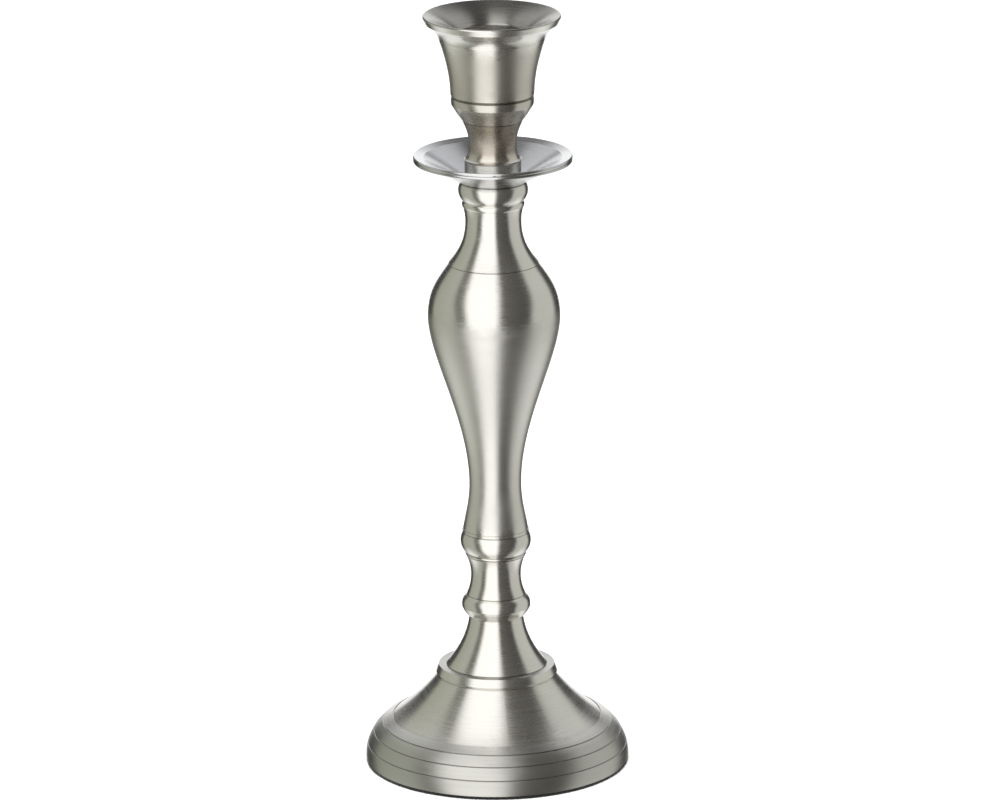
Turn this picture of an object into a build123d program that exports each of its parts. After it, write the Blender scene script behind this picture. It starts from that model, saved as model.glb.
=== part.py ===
"""Turned candlestick with a drip pan, stacked on a threaded tie rod.

The stand is a hollow foot, a stem of turned sections and a tie rod with nuts.
Drip pan, socket neck and candle cup sit on top: the cup screws down on the rod
and clamps the other two, so all three come off for cleaning.
Millimetres, +Z up, origin on the axis at the underside of the felt pad.
"""
from build123d import *
import os

os.makedirs("parts", exist_ok=True)

# ---------------------------------------------------------------- overall sizes
overall_height = 250.0
base_diameter = 86.0
vase_diameter = 42.9
pan_diameter = 51.4
rim_diameter = 44.5
candle_diameter = 22.0

# ---------------------------------------------------------------- heights of the stacked pieces
felt_thickness = 0.8
foot_height = 32.0
flare_height = 16.5
ring_height = 7.3
spool_height = 13.6
bead_height = 7.7
shoulder_height = 27.0
pan_floor = 1.2
neck_height = 19.3
cup_height = 34.3
vase_height = (overall_height - felt_thickness - foot_height - flare_height - ring_height - spool_height
               - bead_height - shoulder_height - pan_floor - neck_height - cup_height)

# ---------------------------------------------------------------- fasteners and fits
rod_diameter = 6.0
rod_clearance = 0.2
thread_clearance = 0.05
nut_flats = 10.0
nut_height = 5.0
nut_clearance = 0.9
nut_head_room = 0.5
lock_washer_width = 2.8
lock_washer_height = 1.6
lock_washer_gap = 0.8
base_washer_diameter = 18.0
base_washer_height = 1.6
stem_washer_diameter = 12.0
stem_washer_height = 1.0
rod_overhang = 1.6
spigot_diameter = 11.2
broad_spigot_diameter = 18.0
spigot_length = 2.0
spigot_gap = 0.3
spigot_clearance = 0.05
seam_chamfer = 0.25
collar_radius = 9.1
collar_top_radius = 10.5

rod_radius = rod_diameter / 2
rod_bore = rod_radius + rod_clearance
thread_bore = rod_radius + thread_clearance
spigot_radius = spigot_diameter / 2
broad_spigot_radius = broad_spigot_diameter / 2

# ---------------------------------------------------------------- levels, from the table up
foot_base = felt_thickness
flare_base = foot_base + foot_height
ring_base = flare_base + flare_height
spool_base = ring_base + ring_height
bead_base = spool_base + spool_height
vase_base = bead_base + bead_height
shoulder_base = vase_base + vase_height
pan_base = shoulder_base + shoulder_height
neck_base = pan_base + pan_floor
cup_base = neck_base + neck_height
rim_top = cup_base + cup_height


def socket(top, radius):
    """Cut the socket that takes the next piece's spigot, down from level top."""
    with Locations((0, 0, top)):
        Cylinder(radius + spigot_clearance, spigot_length + spigot_gap,
                 align=(Align.CENTER, Align.CENTER, Align.MAX), mode=Mode.SUBTRACT)


def ring(outer, inner, base, height):
    """A plain ring standing on level base."""
    with BuildSketch(Plane.XY.offset(base)) as section:
        Circle(outer)
        Circle(inner, mode=Mode.SUBTRACT)
    extrude(section.sketch, amount=height)


def spigot(base, radius):
    """Add the spigot under level base, bored for the rod."""
    ring(radius, rod_bore, base - spigot_length, spigot_length)


def close_on_bore(start, end, bore):
    """Close a turned outline that runs from start up to end with the wall of its bore."""
    Polyline(end, (bore, end.Y), (bore, start.Y), start)


def hex_nut(base):
    """A hexagon nut with both its faces chamfered, standing on level base."""
    corner = nut_flats / 3 ** 0.5
    crown = (corner - nut_flats / 2) * 0.58
    with BuildSketch(Plane.XY.offset(base)) as hexagon:
        RegularPolygon(nut_flats / 2, 6, major_radius=False)
        Circle(thread_bore, mode=Mode.SUBTRACT)
    extrude(hexagon.sketch, amount=nut_height)
    with BuildSketch(Plane.XZ) as crowned:
        with BuildLine():
            Polyline((0, base), (nut_flats / 2, base), (corner, base + crown),
                     (corner, base + nut_height - crown), (nut_flats / 2, base + nut_height),
                     (0, base + nut_height), close=True)
        make_face()
    revolve(crowned.sketch, axis=Axis.Z, mode=Mode.INTERSECT)


# ================================================================ felt pad under the foot
felt_inset = 0.1

with BuildPart() as felt_pad:
    with BuildSketch(Plane.XY):
        Circle(base_diameter / 2 - felt_inset)
    extrude(amount=felt_thickness)
felt_pad.part.label = "felt_pad"
export_step(felt_pad.part, "parts/felt_pad.step")

# ================================================================ hollow foot
base_radius = base_diameter / 2
edge_height = 14.4
edge_width = 8.8
edge_upright = 1.2
edge_draft = 0.05
edge_lip = 0.15
# lower edge bands: inset from the widest radius, height over the foot's underside
edge_bands = ((5.5, 12.2), (2.5, 9.1), (0.5, 5.1))
band_step = 0.2
band_groove_depth = 0.35
band_groove_height = 0.4
band_bulge = Vector(0.12, 0.06)
crown_radius = 18.9
crown_foot_radius = 19.8
crown_height = 2.8
crown_undercut = 0.65
crown_chamfer = 0.25
dish_depth = 0.8
foot_rim_width = 6.0
foot_rim_slope = 5.0
foot_wall = 4.0
hub_radius = 9.5
hub_clearance = 13.2

crown_base = flare_base - crown_height
edge_radius = base_radius - edge_width
edge_top = foot_base + edge_height
cavity_radius = base_radius - foot_rim_width
cavity_shoulder = foot_base + edge_height / 2
cavity_bend_radius = cavity_radius - foot_rim_slope
hub_face = foot_base + hub_clearance
cavity_roof = crown_base - foot_wall

with BuildPart() as base_foot:
    with BuildSketch(Plane.XZ):
        with BuildLine():
            toe_radius = base_radius - edge_draft
            corner = Vector(base_radius, foot_base + edge_upright)
            Polyline((cavity_radius, foot_base), (toe_radius - seam_chamfer, foot_base),
                     (toe_radius, foot_base + seam_chamfer), corner)
            for inset, height in reversed(edge_bands):
                lip = Vector(base_radius - inset, foot_base + height)
                ThreePointArc(corner, (corner + lip) / 2 + band_bulge, lip)
                notch = lip + Vector(-band_groove_depth, band_groove_height / 3)
                corner = lip + Vector(-band_step, band_groove_height)
                Polyline(lip, notch, corner)
            lip = Vector(edge_radius, edge_top)
            Line(corner, lip)
            dish_foot = lip - Vector(edge_lip, edge_lip)
            Line(lip, dish_foot)
            dish_head = Vector(crown_foot_radius - crown_undercut, crown_base - crown_undercut)
            chord = dish_head - dish_foot
            inward = Vector(-chord.Y, chord.X).normalized() * dish_depth
            ThreePointArc(dish_foot, (dish_foot + dish_head) / 2 + inward, dish_head)
            Polyline(dish_head, (crown_foot_radius - crown_chamfer, crown_base),
                     (crown_foot_radius, crown_base + crown_chamfer),
                     (crown_radius, flare_base), (rod_bore, flare_base), (rod_bore, hub_face),
                     (hub_radius, hub_face), (hub_radius, cavity_roof),
                     (crown_foot_radius - foot_wall, cavity_roof),
                     (cavity_bend_radius, cavity_shoulder + foot_wall), (cavity_radius, cavity_shoulder),
                     (cavity_radius, foot_base))
        make_face()
    revolve(axis=Axis.Z)
    socket(flare_base, broad_spigot_radius)
base_foot.part.label = "base_foot"
export_step(base_foot.part, "parts/base_foot.step")

# ================================================================ trumpet at the bottom of the stem
flare_foot_radius = 16.4
flare_top_radius = 8.8

with BuildPart() as stem_flare:
    with BuildSketch(Plane.XZ):
        with BuildLine():
            foot = Line((flare_foot_radius, flare_base), (flare_foot_radius, flare_base + seam_chamfer))
            sweep = Bezier(foot @ 1, (flare_foot_radius - 2.8, flare_base + 3.4),
                           (flare_top_radius + 0.9, ring_base - 7.6), (flare_top_radius, ring_base))
            close_on_bore(foot @ 0, sweep @ 1, rod_bore)
        make_face()
    revolve(axis=Axis.Z)
    spigot(flare_base, broad_spigot_radius)
    socket(ring_base, spigot_radius)
stem_flare.part.label = "stem_flare"
export_step(stem_flare.part, "parts/stem_flare.step")

# ================================================================ ring knop
ring_radius = 11.2
ring_foot_radius = 8.9
ring_top_radius = 9.6
ring_crease = 4.0

with BuildPart() as ring_knop:
    with BuildSketch(Plane.XZ):
        with BuildLine():
            under = ThreePointArc((ring_foot_radius, ring_base), (ring_radius - 0.95, ring_base + 1.45),
                                  (ring_radius, ring_base + ring_crease - 0.6))
            edge = Line(under @ 1, (ring_radius, ring_base + ring_crease))
            side = ThreePointArc(edge @ 1, (ring_radius - 0.45, spool_base - 1.5),
                                 (ring_top_radius, spool_base - seam_chamfer))
            top = Line(side @ 1, (ring_top_radius - seam_chamfer, spool_base))
            close_on_bore(under @ 0, top @ 1, rod_bore)
        make_face()
    revolve(axis=Axis.Z)
    spigot(ring_base, spigot_radius)
    socket(spool_base, spigot_radius)
ring_knop.part.label = "ring_knop"
export_step(ring_knop.part, "parts/ring_knop.step")

# ================================================================ concave spool between the knops
spool_foot_radius = 9.55
spool_waist_radius = 8.15
spool_top_radius = 9.7

with BuildPart() as stem_spool:
    with BuildSketch(Plane.XZ):
        with BuildLine():
            hollow = ThreePointArc((spool_foot_radius, spool_base + seam_chamfer),
                                   (spool_waist_radius, spool_base + spool_height * 0.48),
                                   (spool_top_radius, bead_base - seam_chamfer))
            foot = Line((spool_foot_radius - seam_chamfer, spool_base), hollow @ 0)
            top = Line(hollow @ 1, (spool_top_radius - seam_chamfer, bead_base))
            close_on_bore(foot @ 0, top @ 1, rod_bore)
        make_face()
    revolve(axis=Axis.Z)
    spigot(spool_base, spigot_radius)
    socket(bead_base, spigot_radius)
stem_spool.part.label = "stem_spool"
export_step(stem_spool.part, "parts/stem_spool.step")

# ================================================================ bead knop
bead_radius = 11.45
bead_foot_radius = 9.95
bead_top_radius = 10.8
bead_fillet = 0.8

with BuildPart() as bead_knop:
    with BuildSketch(Plane.XZ):
        with BuildLine():
            fillet_ring = ThreePointArc((bead_foot_radius - 0.25, bead_base),
                                        (bead_foot_radius, bead_base + 0.45),
                                        (bead_foot_radius - 0.2, bead_base + bead_fillet))
            swell = ThreePointArc(fillet_ring @ 1, (bead_radius, bead_base + bead_height * 0.52),
                                  (bead_top_radius, vase_base - seam_chamfer))
            top = Line(swell @ 1, (bead_top_radius - seam_chamfer, vase_base))
            close_on_bore(fillet_ring @ 0, top @ 1, rod_bore)
        make_face()
    revolve(axis=Axis.Z)
    spigot(bead_base, spigot_radius)
    socket(vase_base, spigot_radius)
bead_knop.part.label = "bead_knop"
export_step(bead_knop.part, "parts/bead_knop.step")

# ================================================================ vase-shaped body of the stem
vase_radius = vase_diameter / 2
vase_foot_radius = 10.85
vase_waist_radius = 8.45
vase_top_radius = 14.6
listel_height = 1.1
listel_step = 0.25
waist_rise = 16.1
belly_drop = 17.2
rise_start = 0.385
rise_end = 0.245

waist = vase_base + waist_rise
belly = shoulder_base - belly_drop
listel_top = vase_base + listel_height
lift = (belly - waist) * rise_start
sink = (belly - waist) * rise_end

with BuildPart() as vase_body:
    with BuildSketch(Plane.XZ):
        with BuildLine():
            listel = Polyline((vase_foot_radius - seam_chamfer, vase_base),
                              (vase_foot_radius, vase_base + seam_chamfer),
                              (vase_foot_radius, listel_top),
                              (vase_foot_radius - listel_step, listel_top))
            taper = Bezier(listel @ 1, (vase_foot_radius - 0.85, vase_base + 5.2),
                           (vase_waist_radius, waist - 6.0), (vase_waist_radius, waist))
            rise = Bezier(taper @ 1, (vase_waist_radius, waist + lift), (vase_radius, belly - sink),
                          (vase_radius, belly))
            dome = Bezier(rise @ 1, (vase_radius, belly + 8.1), (vase_top_radius + 3.4, shoulder_base - 5.1),
                          (vase_top_radius, shoulder_base - seam_chamfer))
            top = Line(dome @ 1, (vase_top_radius - seam_chamfer, shoulder_base))
            close_on_bore(listel @ 0, top @ 1, rod_bore)
        make_face()
    revolve(axis=Axis.Z)
    spigot(vase_base, spigot_radius)
    socket(shoulder_base, broad_spigot_radius)
vase_body.part.label = "vase_body"
export_step(vase_body.part, "parts/vase_body.step")

# ================================================================ shoulder and neck that carry the pan
shoulder_foot_radius = 14.55
neck_waist_radius = 9.08
collar_bead_radius = 11.3
torus_base = 8.2
torus_height = 2.0
torus_radius = 10.12
pan_pin_diameter = 14.4
pan_pin_height = 0.9
neck_waist = 14.1

neck_waist_level = shoulder_base + neck_waist
torus_level = pan_base - torus_base
bead_level = torus_level + torus_height
pan_pin_radius = pan_pin_diameter / 2

with BuildPart() as shoulder_neck:
    with BuildSketch(Plane.XZ):
        with BuildLine():
            foot = Line((shoulder_foot_radius - seam_chamfer, shoulder_base),
                        (shoulder_foot_radius, shoulder_base + seam_chamfer))
            cove = Bezier(foot @ 1, (shoulder_foot_radius - 3.6, shoulder_base + 4.4),
                          (neck_waist_radius, neck_waist_level - 5.8), (neck_waist_radius, neck_waist_level))
            throat = TangentArc(cove @ 1, (torus_radius - 0.32, torus_level), tangent=(0, 1))
            torus = ThreePointArc(throat @ 1, (torus_radius, torus_level + torus_height / 2),
                                  (torus_radius - 0.27, bead_level - 0.1))
            notch = Line(torus @ 1, (torus_radius - 0.17, bead_level + 0.2))
            bead = ThreePointArc(notch @ 1, (collar_bead_radius, bead_level + 3.2),
                                 (collar_top_radius + 0.2, pan_base - seam_chamfer))
            top = Line(bead @ 1, (collar_top_radius, pan_base))
            close_on_bore(foot @ 0, top @ 1, rod_bore)
        make_face()
    revolve(axis=Axis.Z)
    spigot(shoulder_base, broad_spigot_radius)
    ring(pan_pin_radius, rod_bore, pan_base, pan_pin_height)
shoulder_neck.part.label = "shoulder_neck"
export_step(shoulder_neck.part, "parts/shoulder_neck.step")

# ================================================================ drip pan
pan_radius = pan_diameter / 2
pan_wall = 1.2
pan_height = 8.9
flange_width = 3.4
lip_height = 2.1
pan_hole_clearance = 0.05
dish_foot_step = 0.7
flange_fall = 0.8

pan_top = pan_base + pan_height
flange_level = pan_top - flange_fall
pan_foot_radius = collar_top_radius - 0.1
dish_foot_radius = collar_radius + dish_foot_step
flange_radius = pan_radius - flange_width
dish_slope = (flange_radius - dish_foot_radius) / (flange_level - neck_base)
wall_shift = pan_wall * (1 + dish_slope ** 2) ** 0.5
lip_base = pan_top - lip_height
outer_flange_radius = dish_foot_radius + wall_shift + (lip_base - neck_base) * dish_slope

with BuildPart() as drip_pan:
    with BuildSketch(Plane.XZ):
        with BuildLine():
            hole = pan_pin_radius + pan_hole_clearance
            Polyline((hole, neck_base), (hole, pan_base), (pan_foot_radius, pan_base),
                     (outer_flange_radius, lip_base), (pan_radius - 0.6, lip_base))
            lower_lip = ThreePointArc((pan_radius - 0.6, lip_base), (pan_radius - 0.05, lip_base + 0.45),
                                      (pan_radius - 0.25, lip_base + 0.95))
            upper_lip = ThreePointArc(lower_lip @ 1, (pan_radius, lip_base + 1.55),
                                      (pan_radius - 0.65, pan_top))
            Polyline(upper_lip @ 1, (flange_radius, flange_level), (dish_foot_radius, neck_base),
                     (hole, neck_base))
        make_face()
    revolve(axis=Axis.Z)
drip_pan.part.label = "drip_pan"
export_step(drip_pan.part, "parts/drip_pan.step")

# ================================================================ stem washer and nut that clamp the stem
stem_washer_base = pan_base + pan_pin_height
stem_nut_base = stem_washer_base + stem_washer_height

with BuildPart() as stem_washer:
    ring(stem_washer_diameter / 2, rod_bore, stem_washer_base, stem_washer_height)
    chamfer(stem_washer.faces().sort_by(Axis.Z)[-1].outer_wire().edges(), 0.15)
stem_washer.part.label = "stem_washer"
export_step(stem_washer.part, "parts/stem_washer.step")

with BuildPart() as stem_nut:
    hex_nut(stem_nut_base)
stem_nut.part.label = "stem_nut"
export_step(stem_nut.part, "parts/stem_nut.step")

# ================================================================ socket neck between pan and cup
collar_lip_radius = 9.35
collar_lip_level = 6.5
neck_radius = 7.65
neck_waist_rise = 11.1
neck_top_radius = 9.75
cup_spigot_diameter = 10.0
cup_spigot_length = 4.2
cup_spigot_gap = 0.4
turning_clearance = 0.05

cup_spigot_radius = cup_spigot_diameter / 2
nut_pocket_radius = max(nut_flats / 3 ** 0.5, stem_washer_diameter / 2) + nut_clearance
nut_pocket_depth = pan_pin_height - pan_floor + stem_washer_height + nut_height + nut_head_room
collar_lip = neck_base + collar_lip_level
neck_middle = neck_base + neck_waist_rise

with BuildPart() as socket_neck:
    with BuildSketch(Plane.XZ):
        with BuildLine():
            collar = Polyline((collar_radius, neck_base), (collar_radius, collar_lip - 0.6),
                              (collar_lip_radius, collar_lip))
            lower = Bezier(collar @ 1, (neck_radius + 0.25, collar_lip + 0.7),
                           (neck_radius, neck_middle - 2.5), (neck_radius, neck_middle))
            upper = Bezier(lower @ 1, (neck_radius, neck_middle + 3.3),
                           (neck_top_radius - 1.2, cup_base - 2.9), (neck_top_radius, cup_base - seam_chamfer))
            top = Line(upper @ 1, (neck_top_radius - seam_chamfer, cup_base))
            close_on_bore(collar @ 0, top @ 1, thread_bore)
        make_face()
    revolve(axis=Axis.Z)
    with Locations((0, 0, neck_base)):
        Cylinder(nut_pocket_radius, nut_pocket_depth,
                 align=(Align.CENTER, Align.CENTER, Align.MIN), mode=Mode.SUBTRACT)
    with Locations((0, 0, cup_base)):
        Cylinder(cup_spigot_radius + turning_clearance, cup_spigot_length + cup_spigot_gap,
                 align=(Align.CENTER, Align.CENTER, Align.MAX), mode=Mode.SUBTRACT)
socket_neck.part.label = "socket_neck"
export_step(socket_neck.part, "parts/socket_neck.step")

# ================================================================ candle cup
rim_radius = rim_diameter / 2
candle_clearance = 0.15
candle_depth = 20.0
funnel_depth = 5.5
rim_width = 0.75
lip_band = 2.35
cup_foot_radius = 10.1
cup_bead_top = 7.6
cup_wall = 2.35
cup_throat_wall = 6.0
cup_throat_drop = 7.6
cup_thread_depth = 6.8
groove_depth = 0.55

bore_radius = candle_diameter / 2 + candle_clearance
cup_wall_radius = bore_radius + cup_wall
cup_bead_radius = cup_wall_radius - 0.1
cup_throat_radius = bore_radius + cup_throat_wall
funnel_radius = (rim_radius - rim_width + bore_radius) / 2
bore_top = rim_top - funnel_depth
bore_floor = bore_top - candle_depth
groove_level = cup_base + cup_bead_top
throat_level = rim_top - cup_throat_drop
lip_foot = rim_top - lip_band

with BuildPart() as candle_cup:
    with BuildSketch(Plane.XZ):
        with BuildLine():
            foot = Line((cup_foot_radius - 0.3, cup_base), (cup_foot_radius, cup_base + 0.3))
            waist_radius = (cup_foot_radius + cup_bead_radius) / 2
            taper = ThreePointArc(foot @ 1, (waist_radius + 0.4, cup_base + 3.3),
                                  (cup_bead_radius - 0.1, cup_base + 5.3))
            bead = ThreePointArc(taper @ 1, (cup_bead_radius, cup_base + 6.5),
                                 (cup_bead_radius - 0.1, groove_level))
            groove = Polyline(bead @ 1, (cup_bead_radius - groove_depth, groove_level + 0.35),
                              (cup_wall_radius, groove_level + 1.0))
            wall = Bezier(groove @ 1, (cup_wall_radius + 0.1, groove_level + 8.0),
                          (cup_throat_radius - 1.75, throat_level - 5.0), (cup_throat_radius, throat_level))
            cove = Bezier(wall @ 1, (cup_throat_radius + 0.4, throat_level + 2.2),
                          (rim_radius - 2.95, lip_foot - 1.3), (rim_radius - 0.8, lip_foot))
            band = Line(cove @ 1, (rim_radius, rim_top - 0.5))
            crest = ThreePointArc(band @ 1, (rim_radius - 0.15, rim_top - 0.15), (rim_radius - 0.4, rim_top))
            rim = Line(crest @ 1, (rim_radius - rim_width, rim_top))
            funnel = ThreePointArc(rim @ 1, (funnel_radius, bore_top + 3.1), (bore_radius + 0.4, bore_top))
            Polyline(funnel @ 1, (bore_radius, bore_top - 0.4), (bore_radius, bore_floor), (0, bore_floor),
                     (0, cup_base), foot @ 0)
        make_face()
    revolve(axis=Axis.Z)
    with Locations((0, 0, cup_base)):
        Cylinder(cup_spigot_radius, cup_spigot_length, align=(Align.CENTER, Align.CENTER, Align.MAX))
    with Locations((0, 0, cup_base - cup_spigot_length)):
        Cylinder(thread_bore, cup_spigot_length + cup_thread_depth,
                 align=(Align.CENTER, Align.CENTER, Align.MIN), mode=Mode.SUBTRACT)
candle_cup.part.label = "candle_cup"
export_step(candle_cup.part, "parts/candle_cup.step")

# ================================================================ tie rod, washers and nut under the foot
rod_top_gap = 0.5
rod_top = cup_base + cup_thread_depth - rod_top_gap
base_washer_base = hub_face - base_washer_height
lock_washer_base = base_washer_base - lock_washer_height
base_nut_base = lock_washer_base - nut_height
rod_base = base_nut_base - rod_overhang

with BuildPart() as tie_rod:
    with BuildSketch(Plane.XY.offset(rod_base)):
        Circle(rod_radius)
    extrude(amount=rod_top - rod_base)
    chamfer(tie_rod.edges().filter_by(GeomType.CIRCLE), 0.6)
tie_rod.part.label = "tie_rod"
export_step(tie_rod.part, "parts/tie_rod.step")

with BuildPart() as base_washer:
    ring(base_washer_diameter / 2, rod_bore, base_washer_base, base_washer_height)
    chamfer(base_washer.faces().sort_by(Axis.Z)[0].outer_wire().edges(), 0.2)
base_washer.part.label = "base_washer"
export_step(base_washer.part, "parts/base_washer.step")

with BuildPart() as lock_washer:
    ring(rod_bore + lock_washer_width, rod_bore, lock_washer_base, lock_washer_height)
    with Locations((rod_bore + lock_washer_width / 2, 0, lock_washer_base + lock_washer_height / 2)):
        Box(lock_washer_width * 2, lock_washer_gap, lock_washer_height * 2, rotation=(20, 0, 0),
            mode=Mode.SUBTRACT)
lock_washer.part.label = "lock_washer"
export_step(lock_washer.part, "parts/lock_washer.step")

with BuildPart() as base_nut:
    hex_nut(base_nut_base)
base_nut.part.label = "base_nut"
export_step(base_nut.part, "parts/base_nut.step")
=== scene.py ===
"""Looks of the turned silver candlestick: satin nickel over a turned casting, black felt, steel hardware."""
import math
import random

import bpy
from mathutils import Euler, Matrix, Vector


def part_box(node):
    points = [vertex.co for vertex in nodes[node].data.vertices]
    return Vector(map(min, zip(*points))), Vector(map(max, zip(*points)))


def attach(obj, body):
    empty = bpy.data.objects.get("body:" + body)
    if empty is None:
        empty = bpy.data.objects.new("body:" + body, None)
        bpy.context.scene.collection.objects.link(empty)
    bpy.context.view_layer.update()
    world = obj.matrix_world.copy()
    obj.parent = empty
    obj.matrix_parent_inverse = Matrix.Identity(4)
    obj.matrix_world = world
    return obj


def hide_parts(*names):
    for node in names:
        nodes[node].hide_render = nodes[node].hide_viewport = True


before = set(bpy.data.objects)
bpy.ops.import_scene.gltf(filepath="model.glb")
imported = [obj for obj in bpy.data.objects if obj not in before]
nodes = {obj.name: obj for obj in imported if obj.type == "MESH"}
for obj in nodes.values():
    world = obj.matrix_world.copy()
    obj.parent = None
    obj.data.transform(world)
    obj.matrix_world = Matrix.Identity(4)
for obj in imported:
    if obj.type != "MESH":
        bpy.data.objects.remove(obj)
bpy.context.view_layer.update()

MM = 0.001
SMALLEST_RADIUS = 0.01 * MM
TURNED = ("base_foot", "stem_flare", "ring_knop", "stem_spool", "bead_knop", "vase_body",
          "shoulder_neck", "drip_pan", "socket_neck", "candle_cup")
HARDWARE = ("base_washer", "base_nut", "stem_washer", "stem_nut")


# ---------------------------------------------------------------- node helpers
def clear_tree(tree):
    """Empty a node tree."""
    for node in list(tree.nodes):
        tree.nodes.remove(node)


def feed(tree, socket, value):
    """Give an input socket a link or a plain value."""
    if isinstance(value, bpy.types.NodeSocket):
        tree.links.new(value, socket)
    else:
        socket.default_value = value


def calc(tree, operation, *values):
    """A Math node; returns its output."""
    node = tree.nodes.new("ShaderNodeMath")
    node.operation = operation
    for socket, value in zip(node.inputs, values):
        feed(tree, socket, value)
    return node.outputs[0]


def remap(tree, value, low, high, new_low, new_high):
    """A clamped Map Range node; returns its output."""
    node = tree.nodes.new("ShaderNodeMapRange")
    for name, given in (("Value", value), ("From Min", low), ("From Max", high),
                        ("To Min", new_low), ("To Max", new_high)):
        feed(tree, node.inputs[name], given)
    return node.outputs["Result"]


def blend_colours(tree, factor, first, second):
    """A colour Mix node; returns its output."""
    node = tree.nodes.new("ShaderNodeMix")
    node.data_type = "RGBA"
    feed(tree, node.inputs["Factor"], factor)
    feed(tree, node.inputs["A"], first)
    feed(tree, node.inputs["B"], second)
    return node.outputs["Result"]


def noise(tree, vector, scale, detail=3.0, rough=0.5, w=None):
    """A Noise Texture; returns its factor. With w it is four-dimensional."""
    node = tree.nodes.new("ShaderNodeTexNoise")
    node.noise_dimensions = "3D" if w is None else "4D"
    feed(tree, node.inputs["Vector"], vector)
    if w is not None:
        feed(tree, node.inputs["W"], w)
    node.inputs["Scale"].default_value = scale
    node.inputs["Detail"].default_value = detail
    node.inputs["Roughness"].default_value = rough
    return node.outputs["Fac"]


def colour_ramp(tree, factor, stops):
    """A Color Ramp from (position, (r, g, b)) stops; returns its colour."""
    node = tree.nodes.new("ShaderNodeValToRGB")
    ramp = node.color_ramp
    ramp.interpolation = "EASE"
    while len(ramp.elements) > 1:
        ramp.elements.remove(ramp.elements[-1])
    for index, (position, colour) in enumerate(stops):
        element = ramp.elements[0] if index == 0 else ramp.elements.new(position)
        element.position = position
        element.color = (*colour, 1.0)
    feed(tree, node.inputs["Fac"], factor)
    return node.outputs["Color"]


def new_material(name):
    """An empty node material with a Principled shader; returns material, tree and shader."""
    material = bpy.data.materials.new(name)
    material.use_nodes = True
    tree = material.node_tree
    clear_tree(tree)
    shader = tree.nodes.new("ShaderNodeBsdfPrincipled")
    output = tree.nodes.new("ShaderNodeOutputMaterial")
    tree.links.new(shader.outputs["BSDF"], output.inputs["Surface"])
    return material, tree, shader


def bump(tree, shader, height, depth):
    """Drive the shader's normal with a height."""
    node = tree.nodes.new("ShaderNodeBump")
    node.inputs["Distance"].default_value = depth
    feed(tree, node.inputs["Height"], height)
    tree.links.new(node.outputs["Normal"], shader.inputs["Normal"])


def lathe_space(tree):
    """Object position in millimetres as radius, height, and the two parts of the angle round the axis."""
    place = tree.nodes.new("ShaderNodeTexCoord").outputs["Object"]
    split = tree.nodes.new("ShaderNodeSeparateXYZ")
    tree.links.new(place, split.inputs[0])
    x, y, z = split.outputs
    square = calc(tree, "ADD", calc(tree, "MULTIPLY", x, x), calc(tree, "MULTIPLY", y, y))
    across = calc(tree, "SQRT", square)
    safe = calc(tree, "MAXIMUM", across, SMALLEST_RADIUS)
    return (calc(tree, "DIVIDE", across, MM), calc(tree, "DIVIDE", z, MM),
            calc(tree, "DIVIDE", x, safe), calc(tree, "DIVIDE", y, safe))


def ring_noise(tree, space, fineness, swing, detail, rough):
    """Noise drawn out round the axis, like a lathe's marks: fineness per millimetre, swing per radian."""
    radius, height, cosine, sine = space
    vector = tree.nodes.new("ShaderNodeCombineXYZ")
    feed(tree, vector.inputs[0], calc(tree, "MULTIPLY", radius, fineness))
    feed(tree, vector.inputs[1], calc(tree, "MULTIPLY", height, fineness))
    feed(tree, vector.inputs[2], calc(tree, "MULTIPLY", cosine, swing))
    return noise(tree, vector.outputs[0], 1.0, detail, rough, w=calc(tree, "MULTIPLY", sine, swing))


def band(tree, height, level, spread):
    """1 at a level, in millimetres, falling off smoothly within the spread."""
    away = calc(tree, "ABSOLUTE", calc(tree, "SUBTRACT", height, level))
    return remap(tree, away, 0.0, spread, 1.0, 0.0)


# ---------------------------------------------------------------- materials
def above(node, *rises):
    """Levels, in millimetres, that lie so far above a node's lowest point."""
    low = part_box(node)[0].z / MM
    return tuple(low + rise for rise in rises)


# where the turning is rougher: a level and how far its rough band reaches, in millimetres
ROUGH_BANDS = (
    (*above("base_foot", 9.2), 7.0),
    (*above("vase_body", 12.1), 6.0),
    (*above("vase_body", 74.6), 4.5),
    (*above("shoulder_neck", 11.8), 2.5),
    (*above("candle_cup", 14.5), 2.5),
)
# stretches of height that differ from the plain finish in roughness and in painted shade, and how soft and
# how ragged their ends are
FOOT_BANDS = above("base_foot", -6.8, 15.2)
VASE_WALL = above("vase_body", 2.1, 78.1)
NECK_WALL = above("socket_neck", 5.6, 25.6)
CUP_WALL = above("candle_cup", 10.5, 30.5)
CUP_BELOW_RIM = above("candle_cup", -1.5, 31.5)
STRETCH_EDGE = 4.0
RAGGED = 9.0

# marks round the axis: fineness per millimetre, swing per radian, octaves of detail and its roughness
FINE_MARKS = (5.0, 1.6, 4.0, 0.6)
COARSE_MARKS = (1.1, 2.2, 3.0, 0.55)
SHORT_MARKS = (3.2, 14.0, 2.0, 0.5)
PATCHES = (0.10, 1.3, 3.0, 0.6)
FINE_HEIGHT = 0.45
COARSE_HEIGHT = 0.9
CHATTER_HEIGHT = 3.0
# nearly all the values of a noise texture lie within this span
NOISE_SPAN = (0.3, 0.7)

CREVICE_REACH = 0.9 * MM
CREVICE_SAMPLES = 8
FINE_ROUGHNESS = 0.05
COARSE_ROUGHNESS = 0.05
BAND_ROUGHNESS = 0.12
QUARTER_TURN = 0.25

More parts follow.
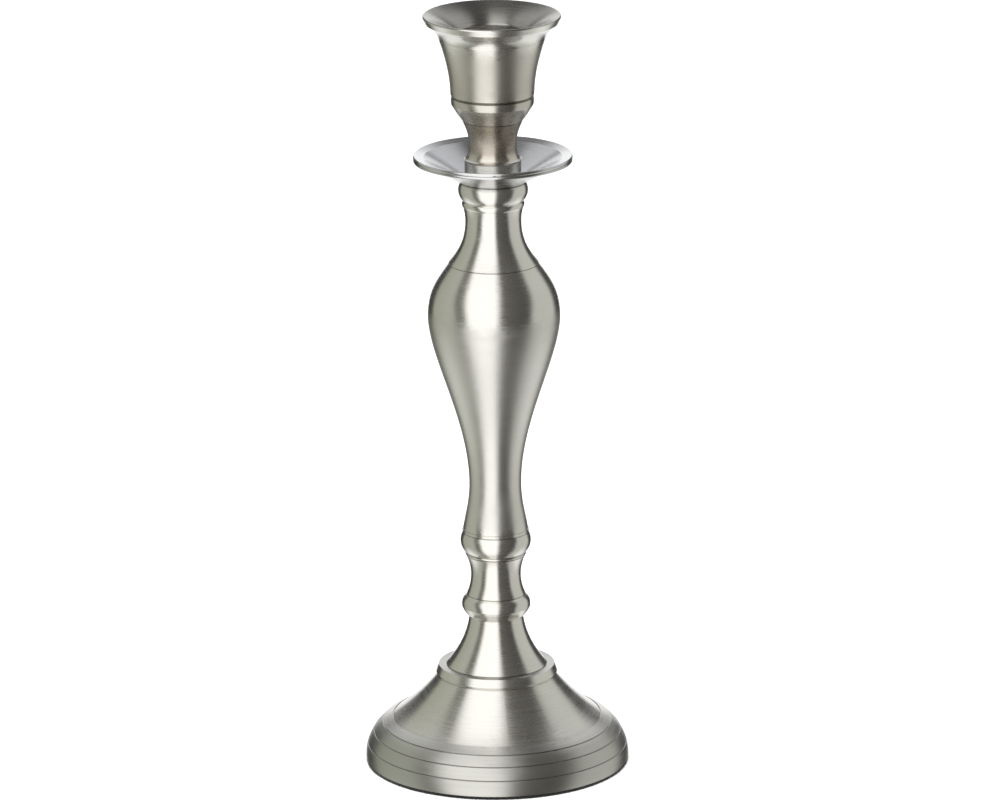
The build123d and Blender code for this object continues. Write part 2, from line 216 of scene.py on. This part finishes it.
DARK_NICKEL = (0.80, 0.79, 0.755, 1.0)
LIGHT_NICKEL = (0.86, 0.85, 0.82, 1.0)
# painted shade: a darker, bluer copy of the nickel for the drip pan
SHADED_PAN_DARK = (0.68, 0.685, 0.70, 1.0)
SHADED_PAN_LIGHT = (0.76, 0.765, 0.78, 1.0)
# painted shade: darker copies of the plate for the foot's bands, the neck under the cup and the cup
FOOT_PAINTED_SHADE = (0.64, 0.635, 0.61, 1.0)
NECK_PAINTED_SHADE = (0.62, 0.56, 0.49, 1.0)
CUP_PAINTED_SHADE = (0.70, 0.68, 0.63, 1.0)
# painted shade: the dark colour laid into grooves and seams and onto faces that point up
PAINTED_SHADE = (0.26, 0.255, 0.235, 1.0)
DARK_ZINC = (0.50, 0.50, 0.49, 1.0)
LIGHT_ZINC = (0.68, 0.69, 0.68, 1.0)
DARK_SPRING = (0.05, 0.05, 0.055, 1.0)
LIGHT_SPRING = (0.13, 0.13, 0.135, 1.0)
DARK_FELT = (0.006, 0.006, 0.007, 1.0)
LIGHT_FELT = (0.035, 0.034, 0.036, 1.0)


def crevices(tree):
    """How open the surface is, from 0 deep in a groove or seam to 1 on a free face."""
    node = tree.nodes.new("ShaderNodeAmbientOcclusion")
    node.samples = CREVICE_SAMPLES
    node.inputs["Distance"].default_value = CREVICE_REACH
    return remap(tree, node.outputs["AO"], 0.25, 0.85, 0.0, 1.0)


def between(tree, level, low, high):
    """1 between two levels, in millimetres, 0 outside them, with soft edges STRETCH_EDGE wide."""
    above_low = remap(tree, level, low, low + STRETCH_EDGE, 0.0, 1.0)
    below_high = remap(tree, level, high - STRETCH_EDGE, high, 1.0, 0.0)
    return calc(tree, "MULTIPLY", above_low, below_high)


def rough_bands(tree, height, patches):
    """1 where the turning is rough: within the rough bands, in patches."""
    rough = 0.0
    for level, spread in ROUGH_BANDS:
        rough = calc(tree, "MAXIMUM", rough, band(tree, height, level, spread))
    return calc(tree, "MULTIPLY", rough, remap(tree, patches, 0.42, 0.62, 0.0, 1.0))


def plate_colour(tree, space, tones, painted_shade_stretch, painted_top_shade, colours):
    """The plate's colour: two tones in patches, then painted shade over stretches of height, on faces that
    point up and in the grooves.
    """
    patches, coarse = tones
    tone = calc(tree, "ADD", remap(tree, patches, *NOISE_SPAN, 0.0, 0.5),
                remap(tree, coarse, *NOISE_SPAN, 0.0, 0.5))
    base = blend_colours(tree, tone, *colours)
    # painted shade over a stretch of height
    if painted_shade_stretch:
        stretch, colour = painted_shade_stretch
        base = blend_colours(tree, between(tree, space[1], *stretch), base, colour)
    # painted shade on faces that point up
    if painted_top_shade:
        start, full, amount = painted_top_shade
        facing = tree.nodes.new("ShaderNodeSeparateXYZ")
        tree.links.new(tree.nodes.new("ShaderNodeNewGeometry").outputs["Normal"], facing.inputs[0])
        upward = remap(tree, facing.outputs[2], start, full, 0.0, amount)
        base = blend_colours(tree, upward, base, PAINTED_SHADE)
    # painted shade in grooves and seams, where ambient occlusion finds them
    return blend_colours(tree, crevices(tree), PAINTED_SHADE, base)


def plate_roughness(tree, satin, fine, coarse, rough):
    """The plate's roughness: satin, wavering with the marks and higher in the rough bands."""
    gloss = remap(tree, fine, *NOISE_SPAN, satin - FINE_ROUGHNESS, satin + FINE_ROUGHNESS)
    gloss = calc(tree, "ADD", gloss, remap(tree, coarse, 0.35, 0.7, 0.0, COARSE_ROUGHNESS))
    return calc(tree, "ADD", gloss, calc(tree, "MULTIPLY", rough, BAND_ROUGHNESS))


def dulled(tree, space, gloss, streaks, dull):
    """The roughness with a duller stretch added, whose ends are ragged."""
    stretch, growth = dull
    ragged = space[1]
    for streak in streaks:
        ragged = calc(tree, "ADD", ragged, remap(tree, streak, *NOISE_SPAN, -RAGGED / 4, RAGGED / 4))
    added = calc(tree, "MULTIPLY", between(tree, ragged, *stretch), growth)
    return calc(tree, "ADD", gloss, added)


def turned_nickel(name, satin, anisotropic, mark_depth, dull=None, painted_top_shade=None, painted_shade_stretch=None,
                  colours=(DARK_NICKEL, LIGHT_NICKEL)):
    """Nickel plate over turned metal: marks drawn out round the axis, rougher bands, painted shade in the
    grooves.

    satin is the finish's roughness and mark_depth the marks' depth in millimetres.
    dull is ((low, high), growth): the roughness grows between two levels in millimetres.
    painted_shade_stretch is ((low, high), colour): the plate has this colour between two levels, as painted
    shade.
    painted_top_shade is (start, full, amount): faces that point up more than start are darkened with painted
    shade.
    """
    material, tree, shader = new_material(name)
    space = lathe_space(tree)
    fine = ring_noise(tree, space, *FINE_MARKS)
    coarse = ring_noise(tree, space, *COARSE_MARKS)
    short = ring_noise(tree, space, *SHORT_MARKS)
    patches = ring_noise(tree, space, *PATCHES)
    rough = rough_bands(tree, space[1], patches)

    base = plate_colour(tree, space, (patches, coarse), painted_shade_stretch, painted_top_shade, colours)
    tree.links.new(base, shader.inputs["Base Color"])
    gloss = plate_roughness(tree, satin, fine, coarse, rough)
    if dull:
        gloss = dulled(tree, space, gloss, (short, patches), dull)
    tree.links.new(gloss, shader.inputs["Roughness"])

    shader.inputs["Metallic"].default_value = 1.0
    shader.inputs["Anisotropic"].default_value = anisotropic
    shader.inputs["Anisotropic Rotation"].default_value = QUARTER_TURN
    tangent = tree.nodes.new("ShaderNodeTangent")
    tangent.direction_type = "RADIAL"
    tangent.axis = "Z"
    tree.links.new(tangent.outputs[0], shader.inputs["Tangent"])

    marks = calc(tree, "ADD", calc(tree, "MULTIPLY", fine, FINE_HEIGHT),
                 calc(tree, "MULTIPLY", coarse, COARSE_HEIGHT))
    chatter = calc(tree, "MULTIPLY", short, calc(tree, "MULTIPLY", rough, CHATTER_HEIGHT))
    bump(tree, shader, calc(tree, "ADD", marks, chatter), mark_depth * MM)
    return material


def zinc_steel():
    """Bright zinc on steel: a cloudy grey tone and a fine grain."""
    material, tree, shader = new_material("zinc_steel")
    place = tree.nodes.new("ShaderNodeTexCoord").outputs["Object"]
    cloud = noise(tree, place, 260.0, 4.0, 0.6)
    grain = noise(tree, place, 2600.0, 3.0, 0.6)
    base = blend_colours(tree, remap(tree, cloud, 0.35, 0.65, 0.0, 1.0), DARK_ZINC, LIGHT_ZINC)
    tree.links.new(base, shader.inputs["Base Color"])
    shader.inputs["Metallic"].default_value = 1.0
    tree.links.new(remap(tree, cloud, 0.3, 0.7, 0.25, 0.42), shader.inputs["Roughness"])
    bump(tree, shader, grain, 0.01 * MM)
    return material


def spring_steel():
    """Dark phosphated spring steel, matt and mottled."""
    material, tree, shader = new_material("spring_steel")
    place = tree.nodes.new("ShaderNodeTexCoord").outputs["Object"]
    mottle = noise(tree, place, 1500.0, 4.0, 0.6)
    base = blend_colours(tree, remap(tree, mottle, 0.35, 0.65, 0.0, 1.0), DARK_SPRING, LIGHT_SPRING)
    tree.links.new(base, shader.inputs["Base Color"])
    shader.inputs["Metallic"].default_value = 0.9
    tree.links.new(remap(tree, mottle, 0.3, 0.7, 0.42, 0.6), shader.inputs["Roughness"])
    bump(tree, shader, mottle, 0.015 * MM)
    return material


def felt():
    """Black pressed wool felt: matted fibres with a soft sheen."""
    material, tree, shader = new_material("black_felt")
    place = tree.nodes.new("ShaderNodeTexCoord").outputs["Object"]
    fibres = noise(tree, place, 1400.0, 6.0, 0.75)
    lint = noise(tree, place, 300.0, 3.0, 0.6)
    base = blend_colours(tree, remap(tree, fibres, 0.35, 0.7, 0.0, 1.0), DARK_FELT, LIGHT_FELT)
    tree.links.new(base, shader.inputs["Base Color"])
    tree.links.new(remap(tree, lint, 0.3, 0.7, 0.85, 1.0), shader.inputs["Roughness"])
    shader.inputs["Sheen Weight"].default_value = 0.3
    shader.inputs["Sheen Roughness"].default_value = 0.5
    shader.inputs["Specular IOR Level"].default_value = 0.2
    bump(tree, shader, fibres, 0.12 * MM)
    return material


bright_nickel = turned_nickel("bright_nickel", satin=0.22, anisotropic=0.70, mark_depth=0.006)
finishes = {
    "base_foot": turned_nickel("foot_nickel", satin=0.25, anisotropic=0.70, mark_depth=0.016,
                               # painted shade on the foot's flat ledges
                               dull=(FOOT_BANDS, 0.09), painted_top_shade=(0.985, 0.998, 0.6),
                               # painted shade on the foot's bands
                               painted_shade_stretch=(FOOT_BANDS, FOOT_PAINTED_SHADE)),
    "vase_body": turned_nickel("vase_nickel", satin=0.22, anisotropic=0.62, mark_depth=0.009,
                               dull=(VASE_WALL, 0.17)),
    "drip_pan": turned_nickel("pan_nickel", satin=0.22, anisotropic=0.65, mark_depth=0.006,
                              # painted shade: the pan's nickel drawn darker and bluer
                              colours=(SHADED_PAN_DARK, SHADED_PAN_LIGHT)),
    "socket_neck": turned_nickel("neck_nickel", satin=0.24, anisotropic=0.62, mark_depth=0.007,
                                 # painted shade on the neck under the cup
                                 painted_shade_stretch=(NECK_WALL, NECK_PAINTED_SHADE)),
    "candle_cup": turned_nickel("cup_nickel", satin=0.24, anisotropic=0.62, mark_depth=0.009,
                                # painted shade on the faces inside the cup that point up
                                dull=(CUP_WALL, 0.17), painted_top_shade=(0.55, 0.72, 0.75),
                                # painted shade over the cup below its rim
                                painted_shade_stretch=(CUP_BELOW_RIM, CUP_PAINTED_SHADE)),
}
zinc = zinc_steel()
spring = spring_steel()
black_felt = felt()
for name in TURNED:
    nodes[name].data.materials[0] = finishes.get(name, bright_nickel)
for name in HARDWARE:
    nodes[name].data.materials[0] = zinc
nodes["lock_washer"].data.materials[0] = spring


# ---------------------------------------------------------------- mesh helpers
def turned_mesh(name, rings, segments, wobble):
    """A closed solid from (radius, height) rings, each radius changed by wobble(ring, angle)."""
    points = []
    for index, (radius, height) in enumerate(rings):
        for step in range(segments):
            angle = 2 * math.pi * step / segments
            reach = radius + wobble(index, angle)
            points.append((reach * math.cos(angle), reach * math.sin(angle), height))
    faces = []
    for index in range(len(rings) - 1):
        for step in range(segments):
            after = (step + 1) % segments
            low, high = index * segments, (index + 1) * segments
            faces.append((low + step, low + after, high + after, high + step))
    faces.append(tuple(reversed(range(segments))))
    faces.append(tuple(range((len(rings) - 1) * segments, len(rings) * segments)))
    mesh = bpy.data.meshes.new(name)
    mesh.from_pydata(points, [], faces)
    mesh.validate()
    piece = bpy.data.objects.new(name, mesh)
    bpy.context.scene.collection.objects.link(piece)
    return piece


def add_piece(piece, body, node, material):
    """Give a mesh its material and body, and hide the node that it replaces."""
    piece.data.materials.append(material)
    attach(piece, body)
    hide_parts(node)


# ---------------------------------------------------------------- threaded rod
PITCH = 1.0 * MM
THREAD_DEPTH = 0.6 * MM
RINGS_PER_TURN = 8
ROD_SEGMENTS = 40
END_CHAMFER = 0.7 * MM
# in shares of the thread's depth: the flank's fall over a pitch, and what comes off it for the flat crest
FLANK_FALL = 2.6
CREST_SHARE = 0.25

rod_low, rod_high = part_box("tie_rod")
rod_length = rod_high.z - rod_low.z
ring_count = round(rod_length / PITCH * RINGS_PER_TURN) + 1
rod_rings = [(rod_high.x, rod_low.z + rod_length * i / (ring_count - 1)) for i in range(ring_count)]


def thread(index, angle):
    """How far the thread's flank lies inside the rod's radius, and the chamfers at its ends."""
    height = rod_rings[index][1]
    phase = (height / PITCH - angle / (2 * math.pi)) % 1.0
    flank = min(1.0, max(0.0, abs(phase - 0.5) * FLANK_FALL - CREST_SHARE))
    to_end = min(height - rod_low.z, rod_high.z - height)
    chamfer = max(0.0, END_CHAMFER - to_end)
    return -max(THREAD_DEPTH * flank, chamfer)


threaded_rod = turned_mesh("threaded_rod", rod_rings, ROD_SEGMENTS, thread)
threaded_rod.data.shade_smooth()
add_piece(threaded_rod, "stand", "tie_rod", zinc)

# ---------------------------------------------------------------- felt disc
FELT_SEGMENTS = 720
# the felt's edge from the table up: how far it is drawn in, in millimetres, at a share of its thickness
FELT_EDGE = ((0.2, 0.0), (0.02, 0.12), (0.0, 0.4), (0.03, 0.75), (0.25, 1.0))
# spread and longest reach of the loose fibres, in millimetres
FUZZ = 0.05
LONGEST_FUZZ = 0.12
# the scissors' waver: its reach in millimetres and its waves round the disc
WAVERS = ((0.05, 5, 1.0), (0.04, 13, 0.0))

felt_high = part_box("felt_pad")[1]
felt_radius = felt_high.x
felt_rings = [(felt_radius - inset * MM, felt_high.z * share) for inset, share in FELT_EDGE]
dice = random.Random(7)
fuzz = [[dice.gauss(0.0, FUZZ) for _ in range(FELT_SEGMENTS)] for _ in felt_rings]


def fuzzy_edge(index, angle):
    """Loose fibres and the scissors' waver at the felt's cut edge."""
    step = round(angle / (2 * math.pi) * FELT_SEGMENTS) % FELT_SEGMENTS
    fibre = max(-LONGEST_FUZZ, min(LONGEST_FUZZ, fuzz[index][step]))
    waver = sum(reach * math.sin(waves * angle + shift) for reach, waves, shift in WAVERS)
    return (fibre + waver) * MM


disc = turned_mesh("felt_disc", felt_rings, FELT_SEGMENTS, fuzzy_edge)
add_piece(disc, "stand", "felt_pad", black_felt)

# ---------------------------------------------------------------- floor
HALF_FLOOR = 6.0
FLOOR_WHITE = (0.93, 0.93, 0.93, 1.0)

corners = [(x * HALF_FLOOR, y * HALF_FLOOR, 0.0) for x, y in ((-1, -1), (1, -1), (1, 1), (-1, 1))]
floor_mesh = bpy.data.meshes.new("floor")
floor_mesh.from_pydata(corners, [], [(0, 1, 2, 3)])
floor = bpy.data.objects.new("floor", floor_mesh)
bpy.context.scene.collection.objects.link(floor)
floor_material, floor_tree, floor_shader = new_material("pale_floor")
floor_shader.inputs["Base Color"].default_value = FLOOR_WHITE
floor_shader.inputs["Roughness"].default_value = 0.9
floor_shader.inputs["Specular IOR Level"].default_value = 0.0
floor_mesh.materials.append(floor_material)
floor.visible_glossy = False

# ---------------------------------------------------------------- studio light
# colour of the panels round the object, by degrees from the front: minus is left, plus is right
STUDIO = (
    (-180, (1.20, 1.20, 1.20)),
    (-168, (1.10, 1.10, 1.10)),
    (-160, (0.05, 0.05, 0.05)),
    (-138, (0.06, 0.06, 0.055)),
    (-126, (0.40, 0.41, 0.34)),
    (-76, (0.46, 0.47, 0.41)),
    (-64, (0.16, 0.16, 0.14)),
    (-54, (0.20, 0.20, 0.17)),
    (-42, (1.28, 1.27, 1.23)),
    (2, (1.32, 1.31, 1.27)),
    (15, (0.12, 0.115, 0.10)),
    (60, (0.08, 0.078, 0.070)),
    (74, (0.56, 0.56, 0.52)),
    (124, (0.58, 0.58, 0.54)),
    (138, (0.06, 0.06, 0.055)),
    (160, (0.05, 0.05, 0.05)),
    (168, (1.10, 1.10, 1.10)),
    (180, (1.20, 1.20, 1.20)),
)
# how far a direction's height carries it round to the front panels
OVERHEAD_PULL = 0.5
WHITE_WALL = (1.20, 1.20, 1.19)
PALE_CEILING = (0.80, 0.80, 0.82)
DARK_CEILING = (0.12, 0.12, 0.12)
TABLE_TOP = (0.95, 0.95, 0.93)
# a tint that stops short of the sides fades out over SIDE_EDGE; NO_SIDES is beyond every direction
SIDE_EDGE = 0.12
NO_SIDES = 2.0

world = bpy.data.worlds.new("studio")
bpy.context.scene.world = world
world.use_nodes = True
sky = world.node_tree
clear_tree(sky)
direction = sky.nodes.new("ShaderNodeTexCoord").outputs["Generated"]
axes = sky.nodes.new("ShaderNodeSeparateXYZ")
sky.links.new(direction, axes.inputs[0])
right, away, up = axes.outputs
raised = calc(sky, "MAXIMUM", up, 0.0)
front = calc(sky, "SUBTRACT", calc(sky, "MULTIPLY", raised, OVERHEAD_PULL), away)
turn = calc(sky, "ARCTAN2", right, front)
share = calc(sky, "ADD", calc(sky, "DIVIDE", turn, 2 * math.pi), 0.5)
panels = colour_ramp(sky, share, [((angle + 180) / 360, colour) for angle, colour in STUDIO])


def lay_over(panels, tint, up_span, away_span, side_to=NO_SIDES):
    """Lay a tint over the panels where a direction points up and away far enough, and not far sideways."""
    share_up = remap(sky, up, *up_span, 0.0, 1.0)
    share_away = remap(sky, away, *away_span, 0.0, 1.0)
    share_side = remap(sky, calc(sky, "ABSOLUTE", right), side_to - SIDE_EDGE, side_to, 1.0, 0.0)
    covered = calc(sky, "MULTIPLY", calc(sky, "MULTIPLY", share_up, share_away), share_side)
    return blend_colours(sky, covered, panels, (*tint, 1.0))


panels = lay_over(panels, WHITE_WALL, (0.14, 0.24), (0.88, 0.95))
panels = lay_over(panels, PALE_CEILING, (0.30, 0.50), (0.20, 0.40), 0.55)
panels = lay_over(panels, DARK_CEILING, (0.45, 0.60), (0.12, 0.30), 0.38)
panels = lay_over(panels, TABLE_TOP, (-0.45, -0.65), (0.0, 0.3))
backdrop = sky.nodes.new("ShaderNodeBackground")
feed(sky, backdrop.inputs["Color"], panels)
backdrop.inputs["Strength"].default_value = 1.0
sky_output = sky.nodes.new("ShaderNodeOutputWorld")
sky.links.new(backdrop.outputs[0], sky_output.inputs["Surface"])

OVERHEAD_SIZE = 2.5
OVERHEAD_POWER = 90.0
OVERHEAD_HEIGHT = 2.6

soft = bpy.data.lights.new("overhead", "AREA")
soft.shape = "DISK"
soft.size = OVERHEAD_SIZE
soft.energy = OVERHEAD_POWER
soft_light = bpy.data.objects.new("overhead", soft)
soft_light.location = (0.0, 0.0, OVERHEAD_HEIGHT)
soft_light.visible_glossy = False
soft_light.visible_camera = False
bpy.context.scene.collection.objects.link(soft_light)

# ---------------------------------------------------------------- camera
# a long lens in front of the object, looking down
LENS = 267.07
SENSOR = 36.0
CAMERA_PLACE = (0.0, -2.3095, 0.78675)
PITCH_DOWN = math.radians(16.056)
YAW_RIGHT = math.radians(0.043)
ROLL = math.radians(-0.42)
FARTHEST = 50.0

camera_data = bpy.data.cameras.new("camera")
camera_data.lens = LENS
camera_data.sensor_width = SENSOR
camera_data.clip_end = FARTHEST
camera = bpy.data.objects.new("camera", camera_data)
aim = Euler((math.pi / 2 - PITCH_DOWN, 0.0, -YAW_RIGHT)).to_matrix().to_4x4()
camera.matrix_world = Matrix.Translation(CAMERA_PLACE) @ aim @ Matrix.Rotation(ROLL, 4, "Z")
bpy.context.scene.collection.objects.link(camera)
bpy.context.scene.camera = camera
bpy.context.scene.view_settings.view_transform = "Standard"
